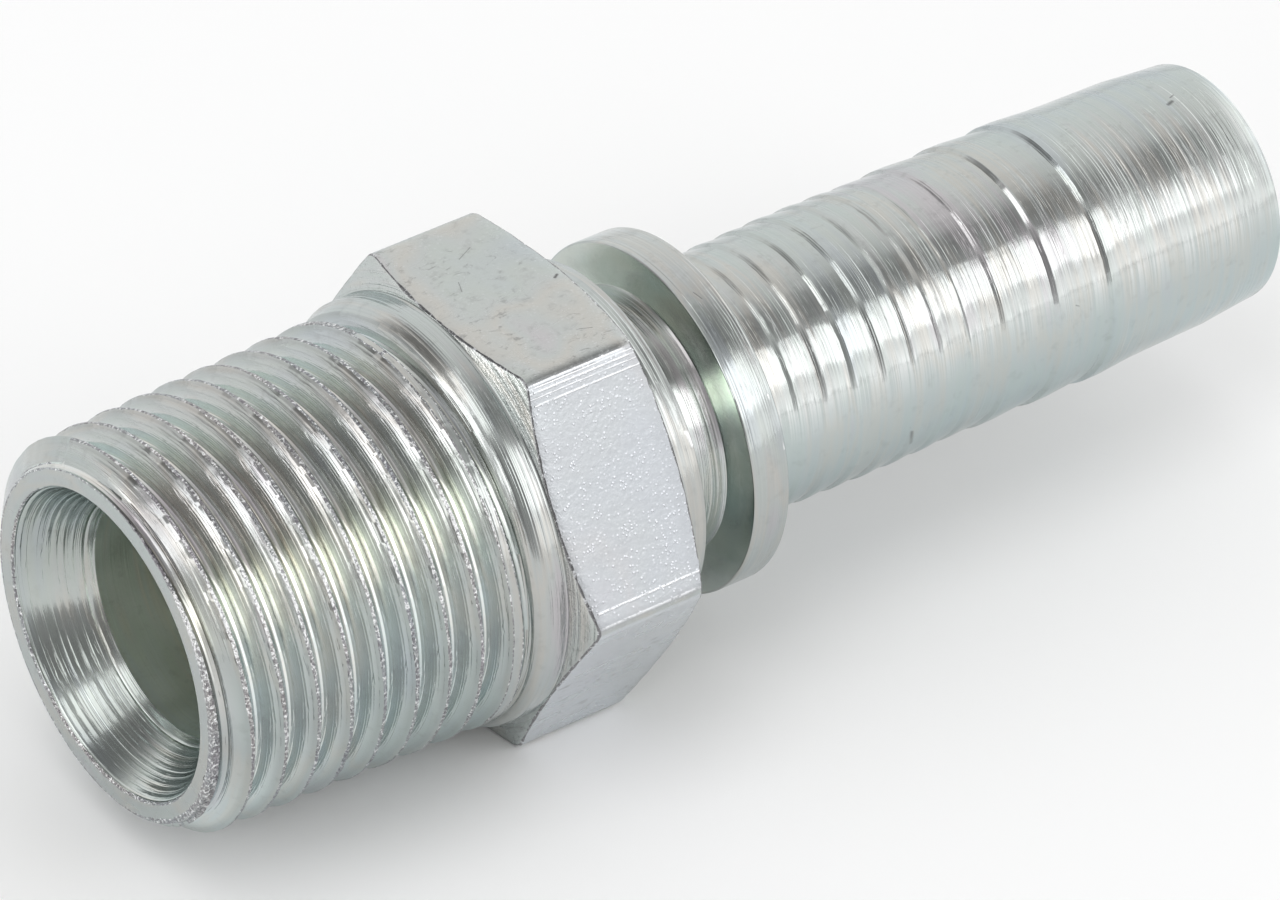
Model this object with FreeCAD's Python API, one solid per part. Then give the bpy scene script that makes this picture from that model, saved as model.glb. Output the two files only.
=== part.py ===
import FreeCAD, Part
import math
import os

# Hydraulic hose fitting: a hose insert turned from one piece of hexagon bar.
# From front to rear it carries a taper pipe thread R 1/2 with a 60 degree
# cone seat in its mouth, a short neck, the spanner hexagon, a turned shoulder,
# a deep retaining groove, a stop collar and a barbed hose tail. A bore runs
# right through it.
#
# Frame (mm): the origin is the centre of the threaded end face, +X runs along
# the axis to the hose end, and +Z is square to the hexagon flat that faces
# up. The fitting lies on the opposite flat, at Z = -HEX_AF/2.

# --------------------------------------------------------------- dimensions
LENGTH = 66.4                # over all, along the axis

# taper pipe thread R 1/2 (55 degree form, 14 threads per inch, 1:16)
PITCH = 1.814
TAPER = 1.0 / 32.0           # radius gained per mm along the axis (1:16 on diameter)
CREST_R0 = 10.02             # crest radius where the crest line meets x = 0
THREAD_DEPTH = 1.16
ROOT_FLAT = 0.16             # half width of the rounded root
FLANK_ANGLE = 27.5           # each flank from the square to the axis
CREST_PHASE_DEG = 136.68     # angle from +Y towards +Z ...
CREST_PHASE_X = 1.30         # ... at which a crest stands at this x
START_R = 8.95                # outer edge of the end face
START_CHAMFER_X = 1.05       # where the start chamfer reaches the crest line
FULL_DEPTH_X = 16.0          # the groove is at full depth as far as this
RUNOUT_X = 17.9              # and has run out of the metal here
GROOVE_X0 = -1.2             # the cutter starts in front of the end face
GROOVE_OVER = 0.20           # and stands this far above the crest
SEAM_DEG = 180.0             # the stock's seam, away from the start of the groove

# neck between thread and hexagon
SHOULDER_X0 = 17.1           # small cone from the thread blank ...
SHOULDER_X1 = 17.75          # ... up to the neck
NECK_R = 10.92

# hexagon
HEX_AF = 22.0                # across flats
HEX_FRONT_X = 18.88          # front face at the middle of a flat
HEX_REAR_X = 26.10           # rear face at the middle of a flat
CHAMFER_DEG = 20.5           # corner chamfers, from the plane of the face
HEX_TURNED_R = 10.98         # the front chamfer starts at this radius
HEX_CORNER_R = 12.64         # bar corners are slightly rounded

# turned shoulder behind the hexagon, retaining groove and collar
BACK_R = 9.38
BACK_END_X = 28.18
GROOVE_R = 6.72
GROOVE_RISE = [(29.50, 6.72), (30.00, 6.74), (30.50, 6.79), (30.90, 6.86)]   # floor, rising to the collar
GROOVE_FOOT_R = 6.93         # where the floor meets the collar's face
COLLAR_X0 = 31.20
COLLAR_X1 = 33.30
COLLAR_R = 9.14
EDGE = 0.12                  # broken edges

# hose tail: (x, radius) along the barbs, from the collar to the end
TAIL = [
    (33.30, 6.72), (35.72, 6.64), (35.92, 6.74),
    (37.47, 6.64), (37.67, 6.76),
    (39.22, 6.67), (39.42, 6.80),
    (40.97, 6.71), (41.17, 6.84),
    (42.77, 6.74), (42.97, 6.84),
    (44.52, 6.73), (44.72, 6.82),
    (46.27, 6.69), (46.47, 6.77),
    (48.40, 6.67), (48.75, 6.84), (49.75, 6.84),
    (51.70, 6.66), (52.10, 6.86), (52.90, 6.85),
    (55.05, 6.66), (55.45, 6.87), (56.40, 6.85),
    (58.30, 6.70), (60.00, 6.66), (63.00, 6.61), (66.25, 6.34),
]
TAIL_END_R = 6.20            # outer edge of the end face

# bore and seat
MOUTH_R = 7.95
SEAT_HALF_ANGLE = 30.0
BORE_R = 6.0
BORE_END_X = 24.0
DRILL_HALF_ANGLE = 59.0
TAIL_BORE_R = 5.0
TAIL_BORE_EDGE = 0.25        # countersink at the hose end

NODE = "hose_insert"


# ------------------------------------------------------------------ helpers
def turned(points):
    """Solid of revolution about X from a closed list of (x, r)."""
    wire = Part.makePolygon([FreeCAD.Vector(x, r, 0) for x, r in points + [points[0]]])
    return Part.Face(wire).revolve(FreeCAD.Vector(0, 0, 0), FreeCAD.Vector(1, 0, 0), 360)


def groove_sweep(x0, r0, x1, r1):
    """Thread groove swept from root radius r0 at x0 to r1 at x1.

    It is made on the Z axis, with its start turned to the thread's phase,
    and then laid along X (Z goes to X, X to Y and Y to Z)."""
    slope = math.degrees(math.atan((r1 - r0) / (x1 - x0)))
    spine = Part.makeHelix(PITCH, x1 - x0, r0, slope)
    # cutter: rounded root, straight flanks, top a little above the crest
    top = THREAD_DEPTH + GROOVE_OVER
    tan_f = math.tan(math.radians(FLANK_ANGLE))
    w_top = ROOT_FLAT + top * tan_f
    sag = 0.06
    lift = 0.02
    w_low = ROOT_FLAT + lift * tan_f
    p_lo0 = FreeCAD.Vector(r0 + lift + sag, 0, -w_low)
    p_lo1 = FreeCAD.Vector(r0 + lift + sag, 0, w_low)
    p_mid = FreeCAD.Vector(r0, 0, 0)
    p_hi1 = FreeCAD.Vector(r0 + top, 0, w_top)
    p_hi0 = FreeCAD.Vector(r0 + top, 0, -w_top)
    profile = Part.Wire([
        Part.Arc(p_lo0, p_mid, p_lo1).toShape(),
        Part.makeLine(p_lo1, p_hi1),
        Part.makeLine(p_hi1, p_hi0),
        Part.makeLine(p_hi0, p_lo0),
    ])
    pipe = Part.BRepOffsetAPI.MakePipeShell(Part.Wire(spine.Edges))
    pipe.setBiNormalMode(FreeCAD.Vector(0, 0, 1))
    pipe.add(profile)
    pipe.build()
    pipe.makeSolid()
    cutter = pipe.shape()
    # a root stands half a pitch away from the crest line
    root_x = CREST_PHASE_X - PITCH / 2.0
    angle = CREST_PHASE_DEG + 360.0 * (x0 - root_x) / PITCH
    cutter.rotate(FreeCAD.Vector(0, 0, 0), FreeCAD.Vector(0, 0, 1), angle)
    cutter.translate(FreeCAD.Vector(0, 0, x0))
    cutter.rotate(FreeCAD.Vector(0, 0, 0), FreeCAD.Vector(1, 1, 1), 120)
    return cutter


def report(name, shape):
    box = shape.BoundBox
    print(name, "solids", len(shape.Solids), "valid", shape.isValid(),
          "faces", len(shape.Faces), "volume cm3", round(shape.Volume / 1000.0, 4),
          "x", round(box.XMin, 3), round(box.XMax, 3))


def main():
    def crest(x):
        return CREST_R0 + TAPER * x

    def root(x):
        return crest(x) - THREAD_DEPTH

    # thread stock, left long at the front so that the groove enters cleanly;
    # its seam is turned away from the start of the groove
    stock = turned([
        (-4.0, 0.0),
        (-4.0, crest(-4.0)),
        (SHOULDER_X0, crest(SHOULDER_X0)),
        (SHOULDER_X1, NECK_R),
        (HEX_FRONT_X + 0.5, NECK_R),
        (HEX_FRONT_X + 0.5, 0.0),
    ])
    stock.rotate(FreeCAD.Vector(0, 0, 0), FreeCAD.Vector(1, 0, 0), SEAM_DEG)
    # the groove at full depth, then running out into the neck
    stock = stock.cut(groove_sweep(GROOVE_X0, root(GROOVE_X0),
                                   FULL_DEPTH_X, root(FULL_DEPTH_X)))
    report("thread", stock)
    lead = 0.02
    stock = stock.cut(groove_sweep(FULL_DEPTH_X - lead, root(FULL_DEPTH_X - lead),
                                   RUNOUT_X, NECK_R + 0.02))
    report("run-out", stock)
    # front face and start chamfer
    facing = turned([
        (0.0, 0.0),
        (0.0, START_R),
        (START_CHAMFER_X + 1.0, START_R + (crest(START_CHAMFER_X) - START_R)
         * (START_CHAMFER_X + 1.0) / START_CHAMFER_X),
        (START_CHAMFER_X + 1.0, 15.0),
        (HEX_FRONT_X + 0.5, 15.0),
        (HEX_FRONT_X + 0.5, 0.0),
    ])
    facing.rotate(FreeCAD.Vector(0, 0, 0), FreeCAD.Vector(1, 0, 0), SEAM_DEG + 25)
    stock = stock.common(facing)
    report("faced", stock)

    # everything behind the neck
    rear = turned([
        (HEX_FRONT_X + 0.5, 0.0),
        (HEX_FRONT_X + 0.5, BACK_R),
        (BACK_END_X - EDGE, BACK_R),
        (BACK_END_X, BACK_R - EDGE),
        (BACK_END_X, GROOVE_R),
    ] + GROOVE_RISE + [
        (COLLAR_X0, GROOVE_FOOT_R),
        (COLLAR_X0, COLLAR_R - EDGE),
        (COLLAR_X0 + EDGE, COLLAR_R),
        (COLLAR_X1 - EDGE, COLLAR_R),
        (COLLAR_X1, COLLAR_R - EDGE),
    ] + TAIL + [
        (LENGTH, TAIL_END_R),
        (LENGTH, 0.0),
    ])

    # hexagon bar with rounded corners, trimmed by the turned chamfers
    corner = HEX_AF / math.sqrt(3.0)
    pts = [FreeCAD.Vector(0, corner * math.cos(math.radians(60 * k)),
                          corner * math.sin(math.radians(60 * k))) for k in range(7)]
    bar = Part.Face(Part.makePolygon(pts)).extrude(FreeCAD.Vector(40, 0, 0))
    tan_c = math.tan(math.radians(CHAMFER_DEG))
    rise = (HEX_CORNER_R - HEX_TURNED_R) * tan_c
    rise_rear = (HEX_CORNER_R - HEX_AF / 2.0) * tan_c
    envelope = turned([
        (HEX_FRONT_X, 0.0),
        (HEX_FRONT_X, HEX_TURNED_R),
        (HEX_FRONT_X + rise, HEX_CORNER_R),
        (HEX_REAR_X - rise_rear, HEX_CORNER_R),
        (HEX_REAR_X, HEX_AF / 2.0),
        (HEX_REAR_X, 0.0),
    ])
    hexagon = bar.common(envelope)
    report("hexagon", hexagon)
    body = hexagon.fuse(rear)
    report("rear", body)
    body = body.fuse(stock)
    report("joined", body)

    # seat and stepped bore, right through
    seat_x = (MOUTH_R - BORE_R) / math.tan(math.radians(SEAT_HALF_ANGLE))
    over = 1.0
    over_r = MOUTH_R + over * math.tan(math.radians(SEAT_HALF_ANGLE))
    drill_x = BORE_END_X + (BORE_R - TAIL_BORE_R) / math.tan(math.radians(DRILL_HALF_ANGLE))
    hole = turned([
        (-over, 0.0),
        (-over, over_r),
        (seat_x, BORE_R),
        (BORE_END_X, BORE_R),
        (drill_x, TAIL_BORE_R),
        (LENGTH - TAIL_BORE_EDGE, TAIL_BORE_R),
        (LENGTH + 0.5, TAIL_BORE_R + TAIL_BORE_EDGE + 0.5),
        (LENGTH + 0.5, 0.0),
    ])
    body = body.cut(hole)

    report("body", body)
    part = body.Solids[0]

    os.makedirs("parts", exist_ok=True)
    part.exportStep(os.path.join("parts", NODE + ".step"))


main()
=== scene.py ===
import math

import bpy
import numpy as np
from mathutils import Matrix


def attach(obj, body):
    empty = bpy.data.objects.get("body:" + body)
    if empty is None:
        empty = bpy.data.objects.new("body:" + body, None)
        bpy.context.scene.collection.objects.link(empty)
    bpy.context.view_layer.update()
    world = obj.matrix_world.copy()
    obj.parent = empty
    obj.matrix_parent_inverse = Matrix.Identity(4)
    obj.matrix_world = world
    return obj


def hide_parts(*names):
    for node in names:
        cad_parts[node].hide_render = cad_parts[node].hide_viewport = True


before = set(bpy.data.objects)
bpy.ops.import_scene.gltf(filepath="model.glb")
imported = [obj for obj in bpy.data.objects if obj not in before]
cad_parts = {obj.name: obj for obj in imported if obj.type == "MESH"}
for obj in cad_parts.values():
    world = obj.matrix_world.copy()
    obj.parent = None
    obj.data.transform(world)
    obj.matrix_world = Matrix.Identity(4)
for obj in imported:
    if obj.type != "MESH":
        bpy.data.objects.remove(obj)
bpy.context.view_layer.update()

# Hydraulic hose fitting, turned from one piece: taper pipe thread, neck,
# hexagon, retaining groove, collar and barbed hose tail, bored through.
# The lengths below are millimetres in the row frame; the axis is X.

# ------------------------------------------------------------------ sizes
PITCH = 1.814
TAPER = 1.0 / 32.0
CREST_R0 = 10.02
DEPTH = 1.16
HALF = math.radians(27.5)
ROOT_ROUND = 0.27
ROOT_X0 = 1.30 - PITCH / 2 - PITCH * 136.68 / 360.0   # a root at angle 0
START_R = 8.95
START_LIP_X = 0.42
START_LIP_R = 9.06
START_X = 0.80
FULL_X = 16.0
RUNOUT_X = 17.9
SHOULDER_X0 = 17.1
SHOULDER_X1 = 17.80
NECK_R = 10.92
THREAD_END = 17.82

HEX_R = 11.0
HEX_FRONT = 18.88
HEX_REAR = 26.10
HEX_CH = math.radians(20.5)
HEX_TURNED = 10.97
HEX_ROUND = 0.85
BACK_R = 9.38
BACK_X = 28.18
GROOVE_R = 6.72
COLLAR_X0 = 31.20
COLLAR_X1 = 33.30
COLLAR_R = 9.14
LENGTH = 66.4

MOUTH_R = 7.95
BORE_R = 6.0
SEAT_X = (MOUTH_R - BORE_R) / math.tan(math.radians(30.0))
BORE_X = 24.0
TAIL_BORE = 5.0
DRILL_X = BORE_X + (BORE_R - TAIL_BORE) / math.tan(math.radians(59.0))


def noise_line(length, step, seed):
    """Smooth random values along a line, one value each `step`."""
    r = np.random.RandomState(seed)
    v = r.uniform(-1, 1, int(length / step) + 4)

    def at(s):
        q = np.asarray(s, float) / step
        i = np.floor(q).astype(int)
        f = q - i
        f = f * f * (3 - 2 * f)
        i = i % (len(v) - 1)
        return v[i] * (1 - f) + v[(i + 1) % (len(v) - 1)] * f
    return at


# ---------------------------------------------------------------- columns
# Angles round the axis from +Y towards +Z. Corners of the hexagon are at 0,
# 60, 120 ... degrees and get closer columns, so that they stay crisp.
sector = [0.0, 0.6, 1.2, 1.85] + list(np.arange(2.5, 57.6, 1.25)) + [58.15, 58.8, 59.4]
wider = [0.0, 0.6, 1.2, 1.85] + list(np.linspace(3.2, 56.8, 34)) + [58.15, 58.8, 59.4]
ANG = np.array([60.0 * k + a for k in range(6) for a in (wider if k in (0, 5) else sector)])
N = len(ANG)
TH = np.radians(ANG)


def crest_line(x):
    return CREST_R0 + TAPER * x


def blank(x):
    """Radius of the thread stock: start chamfer, taper, shoulder and neck."""
    b = crest_line(x)
    lip = START_LIP_R + (x - START_LIP_X) * (crest_line(START_X) - START_LIP_R) / (START_X - START_LIP_X)
    lip = np.maximum(lip, START_R + x * (START_LIP_R - START_R) / START_LIP_X)
    b = np.minimum(b, lip)
    s = crest_line(SHOULDER_X0)
    up = s + (x - SHOULDER_X0) * (NECK_R - s) / (SHOULDER_X1 - SHOULDER_X0)
    return np.where(x > SHOULDER_X0, np.minimum(up, NECK_R), b)


def root_radius(t):
    """Radius of the groove's root where the cutter stands at x = t."""
    full = crest_line(t) - DEPTH
    r16 = crest_line(FULL_X) - DEPTH
    out = r16 + (t - FULL_X) * (NECK_R + 0.02 - r16) / (RUNOUT_X - FULL_X)
    return np.where(t > FULL_X, out, full)


APEX = ROOT_ROUND / math.sin(HALF) - ROOT_ROUND      # root above the V's apex
UT = ROOT_ROUND * math.cos(HALF)


def groove(u, root):
    a = np.abs(u)
    flank = root - APEX + a / math.tan(HALF)
    arc = root - APEX + ROOT_ROUND / math.sin(HALF) - np.sqrt(
        np.maximum(ROOT_ROUND ** 2 - np.minimum(a, ROOT_ROUND) ** 2, 0))
    return np.where(a < UT, arc, flank)


# helical part of the surface: columns x nodes
KS = np.arange(-1, 12)
xg = ROOT_X0 + PITCH * (ANG[:, None] / 360.0 + KS[None, :])      # N x K
root = root_radius(xg)


def edge(side):
    u = np.full(xg.shape, 0.72)
    for _ in range(12):
        u = (blank(xg + side * u) - root + APEX) * math.tan(HALF)
    return np.clip(u, 0.10, 0.95)


uc0, uc1 = edge(-1), edge(+1)
turns = ANG[:, None] / 360.0 + KS[None, :]
# torn crest edges
n1 = noise_line(16, 0.011, 3)
n2 = noise_line(16, 0.011, 4)
n3 = noise_line(16, 0.006, 5)
uc0 = uc0 - 0.012 * n1(turns + 2) - 0.012 * n3(turns + 2)
uc1 = uc1 - 0.012 * n2(turns + 2) - 0.012 * n3(turns + 5)
n4 = noise_line(16, 0.045, 7)
uc0 = uc0 + 0.022 * n4(turns + 1)
uc1 = uc1 - 0.022 * n4(turns + 8)
uc0, uc1 = np.clip(uc0, 0.08, 0.95), np.clip(uc1, 0.08, 0.95)
ut0, ut1 = np.minimum(UT, 0.8 * uc0), np.minimum(UT, 0.8 * uc1)
cols = [-uc0]
for f in (0.72, 0.46, 0.22):
    cols.append(-(ut0 + f * (uc0 - ut0)))
cols += [-ut0, -0.5 * ut0, 0 * ut0, 0.5 * ut1, ut1]
for f in (0.16, 0.34, 0.68):
    cols.append(ut1 + f * (uc1 - ut1))
cols.append(uc1)
U = np.stack(cols, -1)                                   # N x K x 13
XT = xg[..., None] + U
RT = np.minimum(blank(XT), groove(U, root[..., None]))
# the flanks that face the mouth are rounded over towards the crest
over_round = np.clip((uc1 - 0.25) / 0.45, 0, 1)
XT[..., 9] -= 0.045 * over_round
XT[..., 10] -= 0.090 * over_round
XT[..., 11] -= 0.006 * over_round
XT[..., 12] += 0.080 * over_round
# crest band between this groove and the next one
next_edge = xg + PITCH
next_uc0 = np.concatenate([uc0[:, 1:], uc0[:, -1:]], 1)
# the next groove's own edge in the same column
x_a, x_b = XT[..., -1], next_edge - next_uc0
gap = x_b - x_a
c1 = x_a + np.minimum(0.33 * gap, 0.065)
c2 = x_b - np.minimum(0.33 * gap, 0.055)
XT = np.concatenate([XT, c1[..., None], c2[..., None]], -1)
crest_r = np.stack([blank(c1), blank(c2)], -1)
RT = np.concatenate([RT, crest_r], -1)
M_PER = XT.shape[-1]
# uneven, slightly torn crests with broken edges
q1 = noise_line(16, 0.009, 11)(turns + 2)
q2 = noise_line(16, 0.005, 12)(turns + 2)
q3 = noise_line(16, 0.005, 13)(turns + 2)
live = np.clip((17.3 - (xg + PITCH / 2)) / 0.8, 0, 1) * np.clip((xg + 1.6) / 0.5, 0, 1)
RT[..., -2] += live * (-0.006 + 0.008 * q1 + 0.012 * q2)
RT[..., -1] += live * (-0.006 + 0.008 * q1 + 0.012 * q3)
RT[..., 12] += live * (-0.020 + 0.014 * q2)
RT[..., 0] += live * (-0.022 + 0.014 * q3)
XT = XT.reshape(N, -1)
RT = RT.reshape(N, -1)
MT = XT.shape[1]
zone_t = np.tile(np.array([0] * 12 + [1, 1, 1]), len(KS))   # 1: crest band

# ------------------------------------------------------- vertices and faces
verts, faces, mats = [], [], []
(M_TURN, M_THREAD, M_CREST, M_HEX, M_CHAMF, M_BORE, M_SEAT, M_FACE, M_TAIL,
 M_SIDE, M_GROOVE, M_EDGE, M_FLANK) = range(13)


def add(x, r, a):
    verts.append((x * 0.001, r * math.cos(a) * 0.001, r * math.sin(a) * 0.001))
    return len(verts) - 1


def add_ring(x, r):
    x = np.broadcast_to(np.asarray(x, float), (N,))
    r = np.broadcast_to(np.asarray(r, float), (N,))
    return [add(x[j], r[j], TH[j]) for j in range(N)]


def poly(ids, m):
    out = []
    for i in ids:
        if not out or out[-1] != i:
            out.append(i)
    if len(out) > 1 and out[0] == out[-1]:
        out.pop()
    if len(set(out)) >= 3 and len(out) == len(set(out)):
        faces.append(out)
        mats.append(m)


EPS = 0.025
front, rear, idx = [], [], np.zeros((N, MT), int)
for j in range(N):
    x = XT[j]
    lo = np.searchsorted(x, EPS)
    hi = np.searchsorted(x, THREAD_END - EPS)
    # radius on the end plane, from the neighbours of x = 0
    u = 0.0 - xg[j]
    k = int(np.argmin(np.abs(u)))
    r0 = float(min(blank(np.array(0.0)), groove(np.array(u[k]), root[j, k])))
    f = add(0.0, r0, TH[j])
    front.append(f)
    idx[j, :lo] = f
    for i in range(lo, hi):
        idx[j, i] = add(x[i], RT[j, i], TH[j])
    b = add(THREAD_END, NECK_R, TH[j])
    rear.append(b)
    idx[j, hi:] = b

lip_end = 0.24 + 0.10 * noise_line(360, 2.3, 71)(ANG) + 0.30 * np.clip(np.cos(TH - math.radians(202)) * 2 - 1, 0, 1)
for j in range(N):
    jn = (j + 1) % N
    sh = M_PER if jn == 0 else 0
    for i in range(MT - 1):
        i2, i3 = i + sh, i + 1 + sh
        a, b = idx[j, i], idx[j, i + 1]
        d = idx[jn, i2] if i2 < MT else rear[jn]
        c = idx[jn, i3] if i3 < MT else rear[jn]
        if a == b and c == d:
            continue
        part = i % M_PER
        m = M_FLANK if 6 <= part <= 11 else M_THREAD
        if zone_t[i] and 0.3 < XT[j, i] < 17.0:
            m = M_CREST
            if part == 13 and XT[j, i + 1] - XT[j, i] > (0.17 if XT[j, i] < 2.2 else 0.26):
                m = M_TURN                # broad land where the groove runs out
        va, vb = verts[a], verts[b]
        xm = 500.0 * (va[0] + vb[0])
        rm = 500.0 * (math.hypot(va[1], va[2]) + math.hypot(vb[1], vb[2]))
        land = part == 13 and XT[j, i + 1] - XT[j, i] > 0.17
        if xm < 1.7 and (land or (not zone_t[i] and rm > float(blank(np.array(xm))) - 0.035)):
            m = M_TURN
        if xm < lip_end[j] and rm > float(blank(np.array(xm))) - 0.05:
            m = M_CREST
        if xm > 17.0:
            m = M_TURN
        poly([a, d, c, b], m)


def band(r1, r2, m):
    for j in range(N):
        jn = (j + 1) % N
        poly([r1[j], r1[jn], r2[jn], r2[j]], m)


# ---- hexagon: every column meets the chamfers at its own place
phi = np.radians((ANG % 60.0) - 30.0)                 # from the nearest flat
flat_r = HEX_R / np.cos(phi)
corner = HEX_R / math.cos(math.radians(30))
# rounded corner: a circle of radius HEX_ROUND tangent to both flats
cc = corner - HEX_ROUND / math.cos(math.radians(30))   # its centre's distance
psi = np.radians(30.0) - np.abs(phi)
with np.errstate(invalid="ignore"):
    arc_r = cc * np.cos(psi) + np.sqrt(np.maximum(HEX_ROUND ** 2 - (cc * np.sin(psi)) ** 2, 0))
tangent = math.atan2(HEX_ROUND * math.sin(math.radians(30)),
                     cc + HEX_ROUND * math.cos(math.radians(30)))
HR = np.where(psi < tangent, arc_r, flat_r)
hx0 = HEX_FRONT + (HR - HEX_TURNED) * math.tan(HEX_CH)
hx1 = HEX_REAR - (HR - HEX_R) * math.tan(HEX_CH)

nk = noise_line(400, 2.0, 21)
prev = rear
for x, r in ((17.86, NECK_R), (18.25, NECK_R), (18.66, NECK_R)):
    ring = add_ring(x, r)
    band(prev, ring, M_TURN)
    prev = ring
for x, r in ((18.70, NECK_R - 0.03), (18.80, NECK_R - 0.03), (HEX_FRONT - 0.01, NECK_R), (HEX_FRONT, HEX_TURNED)):
    ring = add_ring(x, r)
    band(prev, ring, M_TURN)
    prev = ring
# front chamfer, with a small uneven break where it meets the flats
BR = 0.075
brk = BR * (1.0 + 0.45 * noise_line(360, 1.1, 51)(ANG) + 0.35 * noise_line(360, 3.1, 52)(ANG))
brk2 = BR * (1.0 + 0.45 * noise_line(360, 1.1, 53)(ANG) + 0.35 * noise_line(360, 3.1, 54)(ANG))
tan_c = math.tan(HEX_CH)
for f in (0.33, 0.66):
    r = HEX_TURNED + (HR - brk - HEX_TURNED) * f
    ring = add_ring(HEX_FRONT + (r - HEX_TURNED) * tan_c, r)
    band(prev, ring, M_CHAMF)
    prev = ring
ring = add_ring(hx0 - brk * tan_c, HR - brk)
band(prev, ring, M_CHAMF)
prev = ring
ring = add_ring(hx0 + 0.25 * brk, HR - 0.30 * brk)
band(prev, ring, M_EDGE)
prev = ring
ring = add_ring(hx0 + brk, HR)
band(prev, ring, M_EDGE)
prev = ring
for f in (0.12, 0.3, 0.5, 0.7, 0.88):
    ring = add_ring(hx0 + BR + (hx1 - hx0 - 2 * BR) * f, HR)
    band(prev, ring, M_HEX)
    prev = ring
ring = add_ring(hx1 - brk2, HR)
band(prev, ring, M_HEX)
prev = ring
ring = add_ring(hx1 - 0.25 * brk2, HR - 0.30 * brk2)
band(prev, ring, M_EDGE)
prev = ring
ring = add_ring(hx1 + brk2 * tan_c, HR - brk2)
band(prev, ring, M_EDGE)
prev = ring
for f in (0.5, 0.97):
    r = (HR - BR) + (HEX_R - 0.05 - (HR - BR)) * f
    ring = add_ring(HEX_REAR - (r - HEX_R) * tan_c, r)
    band(prev, ring, M_CHAMF)
    prev = ring


def rounded(points):
    """Polyline from (x, r, radius, steps), with its corners rounded."""
    out = []
    for k, (x, r, rad, steps) in enumerate(points):
        p = np.array([x, r])
        if rad <= 0 or k == 0 or k == len(points) - 1:
            out.append((x, r))
            continue
        a = np.array(points[k - 1][:2]) - p
        b = np.array(points[k + 1][:2]) - p
        la, lb = np.linalg.norm(a), np.linalg.norm(b)
        a, b = a / la, b / lb
        half = math.acos(max(-1, min(1, float(a @ b)))) / 2
        t = rad / math.tan(half)
        t = min(t, 0.45 * la, 0.45 * lb)
        rad2 = t * math.tan(half)
        c = p + (a + b) / np.linalg.norm(a + b) * (rad2 / math.sin(half))
        p0, p1 = p + a * t, p + b * t
        v0, v1 = p0 - c, p1 - c
        turn = math.atan2(v0[0] * v1[1] - v0[1] * v1[0], float(v0 @ v1))
        for s in range(steps + 1):
            w = turn * s / steps
            v = np.array([v0[0] * math.cos(w) - v0[1] * math.sin(w),
                          v0[0] * math.sin(w) + v0[1] * math.cos(w)])
            out.append(tuple(c + v))
    return out


def barb(x, r_root, r_top, rise, flat):
    return [(x - 0.02, r_root, 0, 0), (x + rise * 0.12, r_root + 0.07 * (r_top - r_root), 0, 0),
            (x + rise * 0.92, r_root + 0.93 * (r_top - r_root), 0, 0),
            (x + rise * 1.20, r_top, 0, 0), (x + rise * 1.20 + flat, r_top - 0.002, 0, 0)]


outer = [
    (HEX_REAR, 10.92, 0, 0),
    (HEX_REAR, 10.1, 0, 0),
    (HEX_REAR, BACK_R, 0.12, 3),
    (26.9, BACK_R, 0, 0),
    (27.52, BACK_R, 0, 0),
    (27.60, BACK_R - 0.018, 0, 0),
    (27.86, BACK_R - 0.010, 0, 0),
    (27.93, BACK_R - 0.025, 0, 0),
    (BACK_X, BACK_R - 0.025, 0.08, 3),
    (BACK_X, 8.2, 0, 0),
    (BACK_X, GROOVE_R, 0.30, 3),
    (29.50, GROOVE_R, 0, 0),
    (30.00, GROOVE_R + 0.02, 0, 0),
    (30.50, GROOVE_R + 0.07, 0, 0),
    (30.90, GROOVE_R + 0.14, 0, 0),
    (COLLAR_X0, GROOVE_R + 0.21, 0.05, 2),
    (COLLAR_X0, 8.0, 0, 0),
    (COLLAR_X0, COLLAR_R, 0.10, 3),
    (32.2, COLLAR_R, 0, 0),
    (COLLAR_X1, COLLAR_R, 0.10, 3),
    (COLLAR_X1, 8.0, 0, 0),
    (COLLAR_X1, 6.70, 0.25, 3),
    (34.6, 6.68, 0, 0),
]
tail = []
for x, a, b in ((35.78, 6.64, 6.74), (37.53, 6.64, 6.76), (39.28, 6.67, 6.80), (41.03, 6.71, 6.84),
                (42.83, 6.74, 6.84), (44.58, 6.73, 6.82), (46.33, 6.69, 6.77)):
    tail += barb(x - 0.08, a - 0.01, b, 0.23, 0.30)
for x, a, b in ((48.36, 6.66, 6.84), (51.71, 6.65, 6.86), (55.06, 6.65, 6.87)):
    tail += barb(x - 0.02, a + 0.032, b - 0.01, 0.24, 0.76)
tail += [(58.3, 6.70, 0, 0), (60.0, 6.66, 0, 0), (63.0, 6.61, 0, 0), (65.2, 6.42, 0, 0),
         (LENGTH - 0.0, 6.335, 0.09, 3), (LENGTH, 5.8, 0, 0), (LENGTH, 5.25, 0.06, 2),
         (LENGTH - 0.25, TAIL_BORE, 0, 0)]
ring_xr = rounded(outer + tail)
BARB_X = np.array([35.78, 37.53, 39.28, 41.03, 42.83, 44.58, 46.33, 48.36, 51.71, 55.06])
wob1, wob2 = noise_line(360, 2.6, 81), noise_line(360, 9.0, 82)
dent = noise_line(360, 1.9, 83)
calm = np.clip(np.minimum(ANG, 360.0 - ANG) / 8.0, 0, 1)     # the first and last column meet
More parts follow.
